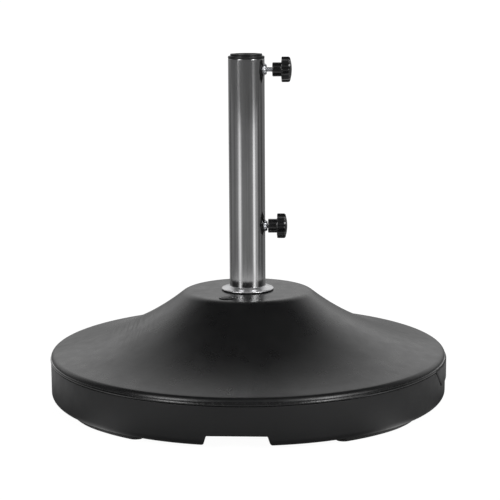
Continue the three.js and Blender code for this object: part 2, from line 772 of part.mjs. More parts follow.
function thrustTip() {
  const end = -SCREW_REACH;
  const top = end + TIP_LENGTH;
  const socketBottom = top - TIP_SOCKET_DEPTH;
  const outline = [
    point(0, end),
    point(0, socketBottom),
    point(TIP_SOCKET_RADIUS, socketBottom),
    point(TIP_SOCKET_RADIUS, top),
    point(TIP_RADIUS, top),
    point(TIP_RADIUS, end + TIP_CHAMFER),
    point(TIP_RADIUS - TIP_CHAMFER, end),
  ];
  return turned(outline, TINY);
}

// Domed outer face shared by the grip and its cap: height at a radius.
function gripDome(radius) {
  return GRIP_APEX - GRIP_DOME + Math.sqrt(GRIP_DOME ** 2 - radius ** 2);
}

function domePoints(inner, outer, steps) {
  const points = [];
  for (let i = 0; i <= steps; i += 1) {
    const radius = inner + ((outer - inner) * i) / steps;
    points.push(point(radius, gripDome(radius)));
  }
  return points;
}

function flutedOutline() {
  const count = GRIP_LOBES * GRIP_POINTS_PER_LOBE;
  const points = [];
  for (let i = 0; i < count; i += 1) {
    const angle = (2 * Math.PI * i) / count;
    const radius = GRIP_MEAN_RADIUS + GRIP_LOBE_HEIGHT * Math.cos(GRIP_LOBES * angle);
    points.push(point(radius * Math.cos(angle), radius * Math.sin(angle)));
  }
  return new THREE.Shape(points);
}

function starGrip() {
  const tipRadius = GRIP_MEAN_RADIUS + GRIP_LOBE_HEIGHT;
  const depth = GRIP_APEX - HUB_LENGTH;
  const flutes = new THREE.ExtrudeGeometry(flutedOutline(), { depth, bevelEnabled: false });
  const envelope = turned(
    [
      point(0, HUB_LENGTH),
      ...domePoints(0, tipRadius - GRIP_ROUND, DOME_STEPS),
      point(tipRadius, GRIP_EDGE),
      point(tipRadius, HUB_LENGTH + GRIP_ROUND),
      point(tipRadius - GRIP_ROUND, HUB_LENGTH),
    ],
    MEDIUM,
  );
  const head = common(flutes.translate(0, 0, HUB_LENGTH), envelope);
  const hub = rod(HUB_RADIUS, 0, HUB_LENGTH + OVERLAP, COARSE);
  return cut(
    joined(head, hub),
    rod(THREAD_RADIUS + GAP, -OVERLAP, HEX_SEAT + OVERLAP),
    hexagon(HEX_ACROSS + 3 * GAP, HEX_SEAT, CAP_SEAT + OVERLAP),
    rod(CAP_RADIUS + GAP, CAP_SEAT, GRIP_APEX + OVERLAP, COARSE),
  );
}

function gripCap() {
  const bottom = CAP_SEAT + GAP;
  const dome = domePoints(0, CAP_RADIUS, DOME_STEPS);
  return turned([point(0, bottom), ...dome, point(CAP_RADIUS, bottom)], COARSE);
}

function addClamp(level, axisZ, hubX) {
  const fixed = new THREE.Group();
  fixed.position.z = axisZ;
  fixed.rotation.y = Math.PI / 2;
  root.add(fixed);
  addPiece(`${level}_thread_bush`, threadBush(), ZINC, fixed);
  const moving = new THREE.Group();
  moving.position.z = hubX;
  fixed.add(moving);
  addPiece(`${level}_clamp_screw`, clampScrew(), ZINC, moving);
  addPiece(`${level}_thrust_tip`, thrustTip(), NYLON, moving);
  addPiece(`${level}_knob`, starGrip(), GRIP_PLASTIC, moving);
  addPiece(`${level}_knob_cap`, gripCap(), GRIP_PLASTIC, moving);
}

// Assembly.

addPiece("top_cover", topCover(), SHELL_PLASTIC);
addPiece("bottom_pan", bottomPan(), SHELL_PLASTIC);
addPiece("concrete_ballast", concreteBallast(), CONCRETE);
const FOOT_NAMES = ["rear_right", "rear_left", "front_left", "front_right"];
FOOT_NAMES.forEach((place, quarter) => addPiece(`foot_pad_${place}`, footPad(quarter), RUBBER));
shellScrewAngles().forEach((angle, i) => {
  const screw = addPiece(`shell_screw_${i + 1}`, shellScrew(), ZINC);
  screw.position.set(SCREW_CIRCLE * Math.cos(angle), SCREW_CIRCLE * Math.sin(angle), 0);
});
addPiece("tube_socket", tubeSocket(), ZINC);
addPiece("upright_tube", uprightTube(), STEEL);
addPiece("tube_foot_plate", tubeFootPlate(), ZINC);
addPiece("anchor_nut", anchorNut(), ZINC);
addPiece("anchor_bolt", anchorBolt(), ZINC);
addPiece("anchor_washer", anchorWasher(), ZINC);
addPiece("anchor_cover", anchorCover(), SHELL_PLASTIC);
addPiece("pole_rest", poleRest(), RUBBER);
addPiece("rosette", rosetteRing(), STEEL);
addPiece("rosette_seal", rosetteSeal(), RUBBER);
addPiece("filler_plug", fillerPlug(), SHELL_PLASTIC);
addPiece("outer_reducer", outerReducer(), SLEEVE_PLASTIC);
addPiece("inner_reducer", innerReducer(), SLEEVE_PLASTIC);
addClamp("upper", UPPER_AXIS_Z, UPPER_HUB_X);
addClamp("lower", LOWER_AXIS_Z, LOWER_HUB_X);

export default root;
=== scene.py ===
import math

import bmesh
import bpy
from mathutils import Matrix, Vector

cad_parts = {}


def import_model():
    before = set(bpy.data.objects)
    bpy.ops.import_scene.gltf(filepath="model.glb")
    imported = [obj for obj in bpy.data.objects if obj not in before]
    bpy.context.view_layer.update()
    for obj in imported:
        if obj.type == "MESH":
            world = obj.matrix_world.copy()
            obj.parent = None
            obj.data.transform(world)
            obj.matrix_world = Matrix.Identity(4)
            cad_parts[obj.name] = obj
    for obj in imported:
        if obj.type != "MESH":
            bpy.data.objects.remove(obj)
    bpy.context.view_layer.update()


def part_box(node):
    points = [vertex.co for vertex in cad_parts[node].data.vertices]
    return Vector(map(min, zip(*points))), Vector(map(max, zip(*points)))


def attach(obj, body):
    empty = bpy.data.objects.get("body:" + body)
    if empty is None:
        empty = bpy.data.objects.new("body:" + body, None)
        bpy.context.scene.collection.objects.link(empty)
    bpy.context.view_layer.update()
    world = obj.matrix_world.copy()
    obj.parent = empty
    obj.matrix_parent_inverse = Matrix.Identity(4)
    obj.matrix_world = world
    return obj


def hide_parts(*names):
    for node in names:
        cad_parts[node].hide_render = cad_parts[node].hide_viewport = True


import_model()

MM = 0.001
FULL = 2 * math.pi

# Facets round the axis.
SHELL_FACETS = 288
TUBE_FACETS = 128
SMALL_FACETS = 48

# Shell, in millimetres.
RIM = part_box("bottom_pan")[1].x / MM
TOP = 180.0
SEAM = 68.5
GAP = 0.3
WALL = 4.0
UNDERSIDE = 6.0
LIP_HEIGHT = 4.0
LIP_OUTER = RIM - 2.5
LIP_INNER = RIM - 5.3
COVER_BORE = 31.5
PLUG_HOLE = 10.7
SHOULDER_RADIUS = 96.0
SHOULDER_ARC = 24.0
FLANK_TOP_SLOPE = 38.5
FLANK_FOOT_SLOPE = 10.0
RIM_ARC = 8.5
RIM_ARC_Z = 73.0
BEAD_ARC = 2.2
BEAD_PROUD = 0.8
TONGUE_PROUD = 1.8
TONGUE_BOTTOM = 39.5
TONGUE_TOP_HALF = 22.0
TONGUE_BOTTOM_HALF = 15.7
NOTCH_TOP = 24.0
PAN_EDGE_ARC = 11.0
NOTCH_TOP_HALF = 45.5
NOTCH_BOTTOM_HALF = 51.0
NOTCH_MOUTH_ARC = 6.0
NOTCH_DEPTH = 58.0
MOUTH_STEPS = 8

# Shell screws with their posts and bosses, in millimetres and degrees either side of each quarter.
SCREW_CIRCLE = 312.0
SCREW_SPREAD = 20
SCREW_SEAT = 40.0
SCREW_HOLE = 2.6
SCREW_POCKET = 5.4
BOSS_RADIUS = 7.0
BOSS_TOP = 80.7
POST_RADIUS = 8.0
POST_FOOT = 9.0

# Feet, in millimetres and degrees: arcs that are drawn in past their middle angle.
PAD_INNER = 295.0
PAD_OUTER = 319.0
PAD_DRAWN_IN = 13.0
PAD_HEIGHT = 5.7
PAD_START = 29
PAD_MIDDLE = 45
PAD_END = 66
PAD_STEPS = 72

# Tube and sleeves, in millimetres.
TUBE_RADIUS = 30.0
TUBE_BORE = 28.0
BUSH_HOLE = 6.8
SLOT_HALF = 5.3
SLOT_FOOT = 500

# Clamp screws, in millimetres along their own axes.
GRIP_LOBES = 8
GRIP_MEAN = 19.3
GRIP_LOBE = 1.5
HUB_RADIUS = 11.6
HUB_LENGTH = 14.8
GRIP_APEX = 31.8
GRIP_DOME = 62.0
CAP_RADIUS = 14.4
CAP_SEAT = 26.8
HEX_SEAT = 8.0
HEX_ACROSS = 13.0
ANCHOR_ACROSS = 18
PITCH = 1.25
HUB_X = {"upper": 42.8, "lower": 34.9}


# ---- mesh helpers -------------------------------------------------------------------------------

def shade(mesh, angle=32):
    mesh.shade_smooth()
    mesh.set_sharp_from_angle(angle=math.radians(angle))


def object_from(name, bm, angle=32):
    bmesh.ops.remove_doubles(bm, verts=bm.verts, dist=1e-7)
    bmesh.ops.recalc_face_normals(bm, faces=bm.faces)
    mesh = bpy.data.meshes.new(name)
    bm.to_mesh(mesh)
    bm.free()
    shade(mesh, angle)
    obj = bpy.data.objects.new(name, mesh)
    bpy.context.scene.collection.objects.link(obj)
    return obj


def skin(name, rings, closed=False, caps=False, angle=32):
    """Quads between rings of points. A ring of one point is a pole."""
    bm = bmesh.new()
    loops = [[bm.verts.new(Vector(p) * MM) for p in ring] for ring in rings]
    pairs = list(zip(loops, loops[1:]))
    if closed:
        pairs.append((loops[-1], loops[0]))
    for a, b in pairs:
        count = max(len(a), len(b))
        for i in range(count):
            j = (i + 1) % count
            corners = (a[i % len(a)], a[j % len(a)], b[j % len(b)], b[i % len(b)])
            face = list(dict.fromkeys(corners))
            if len(face) > 2:
                bm.faces.new(face)
    if caps:
        bm.faces.new(loops[0])
        bm.faces.new(loops[-1])
    return object_from(name, bm, angle)


def ring_at(radius, z, facets):
    """A ring of points. radius and z may be functions of the angle."""
    if radius == 0:
        return [(0, 0, z)]
    points = []
    for i in range(facets):
        turn = FULL * i / facets
        r = radius(turn) if callable(radius) else radius
        height = z(turn) if callable(z) else z
        points.append((r * math.cos(turn), r * math.sin(turn), height))
    return points


def lathe(name, outline, facets=SMALL_FACETS, angle=32):
    closed = outline[0][0] != 0 or outline[-1][0] != 0
    return skin(name, [ring_at(r, z, facets) for r, z in outline], closed=closed, angle=angle)


def arc(cx, cz, radius, start, end, steps):
    angles = [math.radians(start + (end - start) * i / steps) for i in range(steps + 1)]
    return [(cx + radius * math.cos(a), cz + radius * math.sin(a)) for a in angles]


def rounded(outline, radius, steps=4):
    """Rounds each corner of a closed outline of (r, z), or the corners named by their own radius."""
    made = []
    count = len(outline)
    for i, point in enumerate(outline):
        here = Vector(point[:2])
        before = Vector(outline[i - 1][:2])
        after = Vector(outline[(i + 1) % count][:2])
        wanted = point[2] if len(point) > 2 else radius
        room = min((before - here).length, (after - here).length) * 0.49
        if wanted == 0 or here.x == 0:
            made.append(tuple(here))
            continue
        to_before = (before - here).normalized()
        to_after = (after - here).normalized()
        half = to_before.angle(to_after) / 2
        back = min(room, wanted / max(math.tan(half), 1e-6))
        start = here + to_before * back
        end = here + to_after * back
        for k in range(steps + 1):
            t = k / steps
            p = start * (1 - t) ** 2 + here * 2 * t * (1 - t) + end * t ** 2
            made.append((p.x, p.y))
    return made


def modified(obj, kind, **settings):
    modifier = obj.modifiers.new(kind.lower(), kind)
    for key, value in settings.items():
        setattr(modifier, key, value)
    depsgraph = bpy.context.evaluated_depsgraph_get()
    mesh = bpy.data.meshes.new_from_object(obj.evaluated_get(depsgraph))
    obj.modifiers.clear()
    obj.data = mesh
    return obj


def boolean(obj, operation, *others):
    for other in others:
        modified(obj, "BOOLEAN", operation=operation, object=other, solver="EXACT")
        bpy.data.objects.remove(other)
    shade(obj.data)
    return obj


def cylinder(radius, bottom, top, facets=SMALL_FACETS):
    return lathe("tool", [(0, bottom), (radius, bottom), (radius, top), (0, top)], facets)


def rectangle(start_x, end_x, half_y):
    return (start_x, -half_y), (end_x, -half_y), (end_x, half_y), (start_x, half_y)


def prism(corners, bottom, top):
    return skin("tool", [[(x, y, z) for x, y in corners] for z in (bottom, top)], caps=True)


def moved(obj, matrix):
    obj.data.transform(matrix)
    return obj


def shift(x, y, z):
    return Matrix.Translation(Vector((x, y, z)) * MM)


def along_x(obj, axis_z, start_x=0.0):
    """Turns a piece built along +Z to +X, at a height and distance in millimetres."""
    return moved(obj, shift(start_x, 0, axis_z) @ Matrix.Rotation(math.pi / 2, 4, "Y"))


def hexagon(across, chamfer=0.0):
    """Radius of a hexagon as a function of the angle."""
    def radius(turn):
        local = (turn + math.pi / 6) % (math.pi / 3) - math.pi / 6
        return min(across / 2 / math.cos(local), across / 2 / math.cos(math.pi / 6) - chamfer)
    return radius


def heights(node):
    """Bottom and top of a CAD node, in millimetres."""
    low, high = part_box(node)
    return low.z / MM, high.z / MM


def middle_of(node):
    """Centre of a CAD node seen from above, in millimetres."""
    low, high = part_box(node)
    return (low.x + high.x) / 2 / MM, (low.y + high.y) / 2 / MM


def show(obj, material, body, *nodes):
    obj.data.materials.append(material)
    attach(obj, body)
    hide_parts(*nodes)
    return obj


# ---- materials ----------------------------------------------------------------------------------

class Tree:
    """Short names for building the nodes of a material, or of the world if one is given."""

    def __init__(self, name, slot=None, world=None):
        self.material = world or bpy.data.materials.new(name)
        self.material.use_nodes = True
        self.nodes = self.material.node_tree.nodes
        self.links = self.material.node_tree.links
        self.shader = self.nodes["Background" if world else "Principled BSDF"]
        self.coords = self.add("ShaderNodeTexCoord")
        if slot:
            self.material["slot"] = slot

    def add(self, kind, inputs=None, **settings):
        node = self.nodes.new(kind)
        for key, value in settings.items():
            setattr(node, key, value)
        for key, value in (inputs or {}).items():
            self.put(node.inputs[key], value)
        return node

    def put(self, socket, value):
        if isinstance(value, bpy.types.NodeSocket):
            self.links.new(value, socket)
        else:
            socket.default_value = value

    def place(self, scale=(1, 1, 1)):
        inputs = {"Vector": self.coords.outputs["Object"], "Scale": scale}
        return self.add("ShaderNodeMapping", inputs).outputs["Vector"]

    def noise(self, scale, detail=3.0, roughness=0.55, stretch=(1, 1, 1)):
        node = self.add("ShaderNodeTexNoise", {
            "Vector": self.place(stretch), "Scale": scale, "Detail": detail, "Roughness": roughness})
        return node.outputs["Fac"]

    def cells(self, scale, output="Distance"):
        node = self.add("ShaderNodeTexVoronoi", {"Vector": self.place(), "Scale": scale})
        return node.outputs[output]

    def span(self, value, low, high, start=0.0, end=1.0):
        node = self.add("ShaderNodeMapRange", {
            "Value": value, "From Min": start, "From Max": end, "To Min": low, "To Max": high})
        return node.outputs["Result"]

    def math(self, operation, a, b=0.0, c=0.0):
        return self.add("ShaderNodeMath", {0: a, 1: b, 2: c}, operation=operation).outputs[0]

    def length(self, a, b):
        return self.math("SQRT", self.math("MULTIPLY_ADD", a, a, self.math("MULTIPLY", b, b)))

    def xyz(self, source="Object"):
        split = self.add("ShaderNodeSeparateXYZ", {"Vector": self.coords.outputs[source]})
        return [split.outputs[axis] for axis in "XYZ"]

    def smooth(self, value, start, end):
        """Eases from nought at start to one at end."""
        node = self.add("ShaderNodeMapRange", {"Value": value, "From Min": start, "From Max": end},
                        interpolation_type="SMOOTHSTEP")
        return node.outputs["Result"]

    def blend(self, factor, first, second, **settings):
        node = self.add("ShaderNodeMix", {"Factor": factor, 6: first, 7: second}, data_type="RGBA",
                        **settings)
        return node.outputs[2]

    def ramp(self, value, *stops):
        node = self.add("ShaderNodeValToRGB", {"Fac": value})
        elements = node.color_ramp.elements
        while len(elements) < len(stops):
            elements.new(0.5)
        for element, (position, colour) in zip(elements, stops):
            element.position = position
            element.color = (*colour, 1)
        return node.outputs["Color"]

    def bump(self, height, strength, distance, before=None):
        inputs = {"Height": height, "Strength": strength, "Distance": distance}
        if before is not None:
            inputs["Normal"] = before
        return self.add("ShaderNodeBump", inputs).outputs["Normal"]

    def set(self, **values):
        names = {"colour": "Base Color", "rough": "Roughness", "metal": "Metallic", "normal": "Normal",
                 "ior": "IOR", "level": "Specular IOR Level", "subsurface": "Subsurface Weight",
                 "glow": "Emission Color", "glow_strength": "Emission Strength"}
        for key, value in values.items():
            self.put(self.shader.inputs[names[key]], value)
        return self.material


def grey(v):
    return (v, v, v)


def bead_mask(t):
    """One on the rounded rim bead, which handling has polished, and nought elsewhere."""
    x, y, z = t.xyz()
    outside = t.math("GREATER_THAN", t.length(y, x), (RIM - 1.5) * MM)
    height = t.span(z, 1.0, 0.0, (SEAM + 4) * MM, (SEAM + 8) * MM)
    return t.math("MULTIPLY", outside, height)


def flow_lines(t):
    """Height of the faint moulding ripples on the left of the disc."""
    x, y, _ = t.xyz()
    across = t.math("DIVIDE", t.math("ADD", x, 0.185), 0.055)
    along = t.math("DIVIDE", t.math("ADD", y, -0.01), 0.13)
    faded = t.smooth(t.length(across, along), 1.2, 0.3)
    return t.math("MULTIPLY", t.noise(190, 2, 0.5, (1, 0.06, 0.3)), faded)


def shell_plastic(name, rough_low, rough_high, tone=1.0, ior=1.47, bead=False):
    """Blow-moulded black plastic: satin, a fine grain, faint sink marks and a few pale specks.

    With bead set, the rim bead is polished and the disc has its ripples."""
    t = Tree(name, "shell_plastic")
    clouds = t.noise(9, 4, 0.6)
    fine = t.noise(1400, 2, 0.5)
    specks = t.math("LESS_THAN", t.cells(420), 0.07)
    chosen = t.math("MULTIPLY", specks, t.math("GREATER_THAN", t.noise(60, 1), 0.62))
    dark = t.ramp(clouds, (0.3, (0.0045 * tone, 0.0046 * tone, 0.0049 * tone)),
                  (0.75, (0.0075 * tone, 0.0076 * tone, 0.0079 * tone)))
    colour = t.blend(t.math("MULTIPLY", chosen, 0.12), dark, (0.16, 0.16, 0.16, 1))
    rough = t.math("ADD", t.span(clouds, rough_low, rough_high, 0.3, 0.75),
                   t.span(t.noise(55, 3), -0.03, 0.03, 0.3, 0.7))
    if bead:
        scuffs = t.span(t.noise(240, 3, 0.6), 0.10, 0.30, 0.35, 0.65)
        polished = bead_mask(t)
        kept = t.math("MULTIPLY", rough, t.math("SUBTRACT", 1.0, polished))
        rough = t.math("MULTIPLY_ADD", polished, scuffs, kept)
    waves = t.noise(6, 2, 0.5, (1.0, 1.0, 0.3))
    normal = t.bump(waves, 0.25, 0.004)
    normal = t.bump(t.noise(130, 3), 0.10, 0.0006, normal)
    if bead:
        normal = t.bump(flow_lines(t), 0.8, 0.0022, normal)
    normal = t.bump(fine, 0.22, 0.00012, normal)
    return t.set(colour=colour, rough=rough, normal=normal, ior=ior)


def steel_tube():
    """Stainless tube, polished lengthwise: fine streaks along it and a faint mottle."""
    t = Tree("steel_tube", "stainless")
    streaks = t.noise(900, 3, 0.6, (1, 1, 0.004))
    broad = t.noise(160, 2, 0.5, (1, 1, 0.008))
    mottle = t.noise(18, 4, 0.6, (1, 1, 0.35))
    colour = t.ramp(t.math("MULTIPLY_ADD", streaks, 0.5, t.math("MULTIPLY", mottle, 0.5)),
                    (0.35, (0.44, 0.44, 0.445)), (0.65, (0.68, 0.68, 0.685)))
    rough = t.math("ADD", t.span(broad, 0.10, 0.17, 0.3, 0.7), t.span(streaks, -0.03, 0.04, 0.3, 0.7))
    normal = t.bump(broad, 0.08, 0.0003)
    normal = t.bump(streaks, 0.12, 0.00008, normal)
    return t.set(colour=colour, rough=rough, normal=normal, metal=1.0)


def spun_steel():
    """Bright spun sheet with fine rings round its axis."""
    t = Tree("spun_steel", "polished_steel")
    x, y, _ = t.xyz()
    rings = t.add("ShaderNodeTexNoise", {"W": t.length(y, x), "Scale": 2600.0, "Detail": 3.0},
                  noise_dimensions="1D").outputs["Fac"]
    clouds = t.noise(70, 3)
    colour = t.ramp(clouds, (0.3, (0.66, 0.66, 0.67)), (0.7, (0.78, 0.78, 0.79)))
    rough = t.math("ADD", t.span(clouds, 0.34, 0.42, 0.3, 0.7), t.span(rings, -0.03, 0.05, 0.3, 0.7))
    return t.set(colour=colour, rough=rough, metal=1.0, normal=t.bump(rings, 0.10, 0.00008))


def zinc():
    """Bright zinc-plated steel with a soft spangle."""
    t = Tree("zinc", "zinc_steel")
    patches = t.cells(260)
    clouds = t.noise(90, 4)
    colour = t.ramp(t.math("MULTIPLY_ADD", patches, 0.5, t.math("MULTIPLY", clouds, 0.5)),
                    (0.2, (0.50, 0.51, 0.54)), (0.7, (0.70, 0.71, 0.73)))
    rough = t.span(clouds, 0.2, 0.38, 0.3, 0.7)
    return t.set(colour=colour, rough=rough, metal=1.0, normal=t.bump(t.noise(900, 2), 0.15, 0.0001))


def grip_plastic():
    """Glossy black moulding with a slight orange peel and light handling marks."""
    t = Tree("grip_plastic", "grip_plastic")
    marks = t.noise(220, 4, 0.6)
    colour = t.ramp(marks, (0.3, (0.006, 0.006, 0.0065)), (0.75, (0.011, 0.011, 0.0115)))
    rough = t.span(marks, 0.13, 0.26, 0.3, 0.75)
    normal = t.bump(t.noise(500, 2), 0.18, 0.00015)
    return t.set(colour=colour, rough=rough, normal=normal, ior=1.5)


def sleeve_plastic():
    """Satin black injection moulding."""
    t = Tree("sleeve_plastic", "sleeve_plastic")
    clouds = t.noise(130, 3)
    colour = t.ramp(clouds, (0.3, (0.008, 0.008, 0.0085)), (0.7, (0.014, 0.014, 0.0145)))
    rough = t.span(clouds, 0.28, 0.42, 0.3, 0.7)
    return t.set(colour=colour, rough=rough, normal=t.bump(t.noise(1600, 2), 0.2, 0.0001), ior=1.48)


def rubber():
    """Dull black rubber with a dusty bloom."""
    t = Tree("rubber", "rubber")
    bloom = t.noise(60, 5, 0.65)
    colour = t.ramp(bloom, (0.35, (0.007, 0.007, 0.007)), (0.75, (0.018, 0.0178, 0.0172)))
    rough = t.span(bloom, 0.62, 0.85, 0.3, 0.7)
    return t.set(colour=colour, rough=rough, normal=t.bump(t.noise(1100, 3), 0.35, 0.0002))


def concrete():
    """Cast concrete: cement grey, sand grain, aggregate and air holes; the holes are bumped in and darkened
    with painted shade.
    """
    t = Tree("concrete", "concrete")
    clouds = t.noise(14, 5, 0.62)
    stones = t.cells(130, output="Color")
    pits = t.math("LESS_THAN", t.cells(210), 0.16)
    base = t.ramp(clouds, (0.3, (0.27, 0.262, 0.245)), (0.7, (0.42, 0.41, 0.385)))
    grained = t.blend(0.22, base, stones, blend_type="OVERLAY")
    # Painted shade: the air holes are darkened in the colour, as the shade that would lie inside them.
    colour = t.blend(t.math("MULTIPLY", pits, 0.7), grained, (0.09, 0.085, 0.08, 1))
    normal = t.bump(t.math("MULTIPLY", pits, -1.0), 0.6, 0.001)
    normal = t.bump(t.noise(700, 4, 0.6), 0.5, 0.0006, normal)
    return t.set(colour=colour, rough=t.span(clouds, 0.82, 0.97, 0.3, 0.7), normal=normal)


def nylon():
    """Natural nylon, slightly marked where it presses."""
    t = Tree("nylon", "nylon")
    marks = t.noise(300, 4)
    colour = t.ramp(marks, (0.3, (0.60, 0.575, 0.52)), (0.75, (0.74, 0.72, 0.67)))
    return t.set(colour=colour, rough=t.span(marks, 0.35, 0.55, 0.3, 0.7), subsurface=0.15,
                 normal=t.bump(marks, 0.2, 0.0002))


# ---- shell --------------------------------------------------------------------------------------

def cover_curve(inset, steps):
    """Top surface of the cover, from the edge of the flat top to the rim, moved in by inset."""
    shoulder = arc(SHOULDER_RADIUS, TOP - SHOULDER_ARC, SHOULDER_ARC - inset,
                   90, 90 - FLANK_TOP_SLOPE, steps)
    rim = arc(RIM - RIM_ARC, RIM_ARC_Z, RIM_ARC - inset, 90 - FLANK_FOOT_SLOPE, 0, steps)
    (x0, z0), (x1, z1) = shoulder[-1], rim[0]
    fall0 = math.tan(math.radians(FLANK_TOP_SLOPE))
    fall1 = math.tan(math.radians(FLANK_FOOT_SLOPE))
    reach = ((z0 - z1) - fall1 * (x1 - x0)) / (fall0 - fall1)
    xc, zc = x0 + reach, z0 - fall0 * reach
    flank = []
    count = 3 * steps
    for i in range(1, count):
        t = i / count
        flank.append(((1 - t) ** 2 * x0 + 2 * t * (1 - t) * xc + t * t * x1,
                      (1 - t) ** 2 * z0 + 2 * t * (1 - t) * zc + t * t * z1))
    return shoulder + flank + rim


def build_cover():
    lip = LIP_OUTER + GAP
    lip_top = SEAM + LIP_HEIGHT + GAP
    bead_z = SEAM + GAP + BEAD_ARC
    inner = [p for p in reversed(cover_curve(WALL, 8)) if p[1] > lip_top]
    outline = [(COVER_BORE, TOP - 0.8), (31.7, TOP - 0.2), (32.3, TOP), (44, TOP), (62, TOP), (80, TOP),
               *cover_curve(0, 14),
               *arc(RIM + BEAD_PROUD - BEAD_ARC, bead_z, BEAD_ARC, 45, -90, 10),
               (lip, SEAM + GAP), (lip, lip_top), *inner, (COVER_BORE, TOP - WALL)]
    cover = lathe("cover_shell", outline, SHELL_FACETS, angle=40)
    plug_hole = moved(cylinder(PLUG_HOLE, TOP - 12, TOP + 2), shift(*middle_of("filler_plug"), 0))
    boolean(cover, "DIFFERENCE", plug_hole)
    tongue = build_tongue()
    for face in tongue.data.polygons:
        face.material_index = 1
    join(cover, tongue, *cover_bosses())
    return cover


def join(target, *others):
    """Adds the meshes of others to target's own."""
    bm = bmesh.new()
    for obj in (target, *others):
        bm.from_mesh(obj.data)
    bm.to_mesh(target.data)
    bm.free()
    for obj in others:
        bpy.data.objects.remove(obj)
    return target


def build_tongue():
    inner, outer = RIM + 0.05, RIM + TONGUE_PROUD
    top = SEAM + GAP + BEAD_ARC
    section = rounded([(inner, TONGUE_BOTTOM), (outer, TONGUE_BOTTOM, 0.9), (outer, top - 0.6, 1.6),
                       (outer - 1.2, top + 1.6, 0.3), (inner, top + 1.6)], 0.0)
    rings = []
    stations = 61
    for k in range(stations):
        t = 2 * k / (stations - 1) - 1
        edge = min(1.0, (1 - abs(t)) / 0.012)
        ring = []
        for r, z in section:
            share = (z - TONGUE_BOTTOM) / (top - TONGUE_BOTTOM)
            half = TONGUE_BOTTOM_HALF + (TONGUE_TOP_HALF - TONGUE_BOTTOM_HALF) * min(1, share)
            angle = math.radians(half * t)
            depth = inner + (r - inner) * (0.45 + 0.55 * math.sqrt(edge))
            ring.append((depth * math.cos(angle), depth * math.sin(angle), z))
        rings.append(ring)
    return skin("tongue", rings, caps=True)


def screw_angles():
    return [math.radians(90 * quarter + side) for quarter in range(4)
            for side in (-SCREW_SPREAD, SCREW_SPREAD)]


def around(radius, angle):
    return shift(radius * math.cos(angle), radius * math.sin(angle), 0)


def cover_bosses():
    made = []
    for angle in screw_angles():
        outline = rounded([(SCREW_HOLE, SEAM + GAP), (BOSS_RADIUS, SEAM + GAP, 0.5),
                           (BOSS_RADIUS, BOSS_TOP), (SCREW_HOLE, BOSS_TOP)], 0.0)
        made.append(moved(lathe("boss", outline, 24), around(SCREW_CIRCLE, angle)))
    return made


def notch_prism(grow, front, back, flare=0.0):
    """Prism with the notch's outline, rounded at its upper corners and flared at its lower ones."""
    top = NOTCH_TOP + grow
    half_top, half_bottom = NOTCH_TOP_HALF + grow, NOTCH_BOTTOM_HALF + grow
    foot = [(half_bottom, UNDERSIDE, 0)]
    if flare:
        slant = Vector((half_top - half_bottom, top - UNDERSIDE)).normalized() * flare
        corner = Vector((half_bottom, UNDERSIDE))
        start, end = corner + Vector((flare, 0)), corner + slant
        foot = [(half_bottom + flare, UNDERSIDE - 1, 0)]
        for k in range(MOUTH_STEPS + 1):
            share = k / MOUTH_STEPS
            p = start.lerp(corner, share).lerp(corner.lerp(end, share), share)
            foot.append((p.x, p.y, 0))
    right = [p for p in rounded([*foot, (half_top, top, 4.5), (0, top, 0)], 0, 6) if p[0] > 0]
    outline = right + [(-x, z) for x, z in reversed(right)]
    return skin("tool", [[(x, -d, z) for x, z in outline] for d in (front, back)], caps=True)


def pan_edge(inset=0.0):
    """Rounded lower edge of the pan, from its wall to its underside."""
    return arc(RIM - PAN_EDGE_ARC, UNDERSIDE + PAN_EDGE_ARC, PAN_EDGE_ARC - inset, 0, -90, 12)


def build_pan():
    floor_top = UNDERSIDE + WALL
    lip_top = SEAM + LIP_HEIGHT
    outline = rounded([(31.7, 8.2, 0.2), (27.8, 8.2, 0.2), (27.8, floor_top, 0.3), (200, floor_top, 0),
                       (LIP_INNER, floor_top, 3), (LIP_INNER, lip_top, 0.6), (LIP_OUTER, lip_top, 0.6),
                       (LIP_OUTER, SEAM, 0.2), (RIM, SEAM, 1.0), *pan_edge(),
                       (200, UNDERSIDE, 0), (31.7, UNDERSIDE, 0.3)], 0, steps=6)
    pan = lathe("pan_shell", outline, SHELL_FACETS, angle=40)
    back = RIM - NOTCH_DEPTH
    envelope = lathe("tool", [(0, UNDERSIDE), (0, SEAM), (RIM - 1, SEAM), *pan_edge(0.3)], SHELL_FACETS)
    housing = boolean(notch_prism(WALL, LIP_INNER + 1, back - WALL), "INTERSECT", envelope)
    boolean(pan, "UNION", housing)
    tools = [notch_prism(0, RIM + 1, back, NOTCH_MOUTH_ARC)]
    outline = rounded([(SCREW_HOLE, SCREW_SEAT), (SCREW_HOLE, SEAM), (POST_RADIUS, SEAM, 0.6),
                       (POST_RADIUS, POST_FOOT), (SCREW_POCKET, POST_FOOT), (SCREW_POCKET, SCREW_SEAT)], 0.0)
    posts = []
    for angle in screw_angles():
        place = around(SCREW_CIRCLE, angle)
        tools.append(moved(cylinder(SCREW_POCKET, 2, SCREW_SEAT, 32), place))
        posts.append(moved(lathe("post", outline, 32), place))
    return join(boolean(pan, "DIFFERENCE", *tools), *posts)


